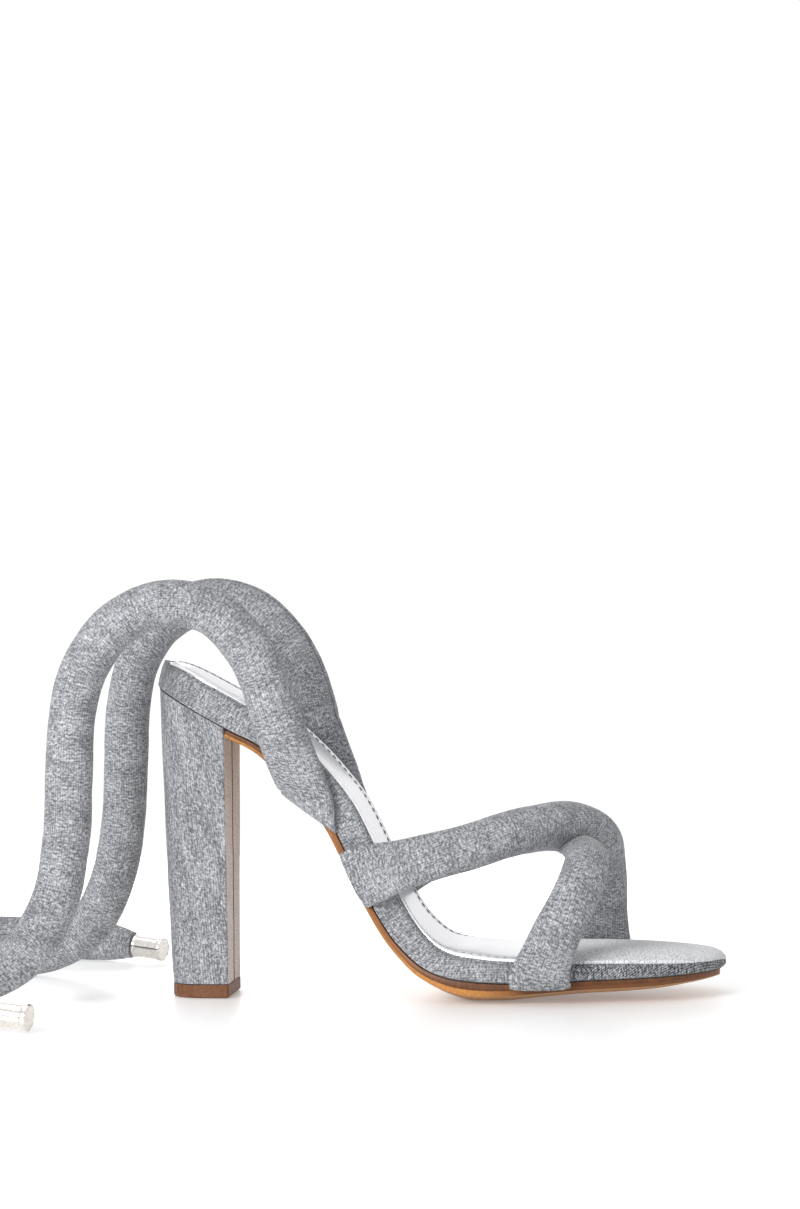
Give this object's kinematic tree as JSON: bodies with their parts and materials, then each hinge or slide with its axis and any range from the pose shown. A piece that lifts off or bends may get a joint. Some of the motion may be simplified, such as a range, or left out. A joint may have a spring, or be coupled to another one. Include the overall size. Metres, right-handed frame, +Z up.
{
  "type": "lace-up sandal",
  "caption": "Block-heel sandal for the right foot, with a curved jersey sole, two crossed padded toe straps and two long padded ankle ties with metal tips.",
  "frame": {"origin": "in the heel's ground face, near its middle, on the surface that the shoe stands on", "axes": "+X to the toe, +Y to the inner side of the foot, +Z up"},
  "size_m": [0.5639, 0.308, 0.1546],
  "materials": {
    "jersey": "mottled heather-grey knitted jersey over padding or board",
    "sock": "silver-white sock, stitched near its edge",
    "outsole": "brown, tan below, thin painted edge",
    "top_lift": "brown, satin",
    "nickel": "polished nickel plating"
  },
  "bodies": {
    "root": {"footbed": "jersey", "outsole": "outsole", "insole": "sock", "heel": "jersey", "top_lift": "top_lift", "upper": "jersey", "tie_root_lateral": "jersey", "tie_root_medial": "jersey", "tie_lateral": "jersey", "tie_medial": "jersey", "tip_lateral": "nickel", "tip_medial": "nickel"}
  },
  "joints": []
}
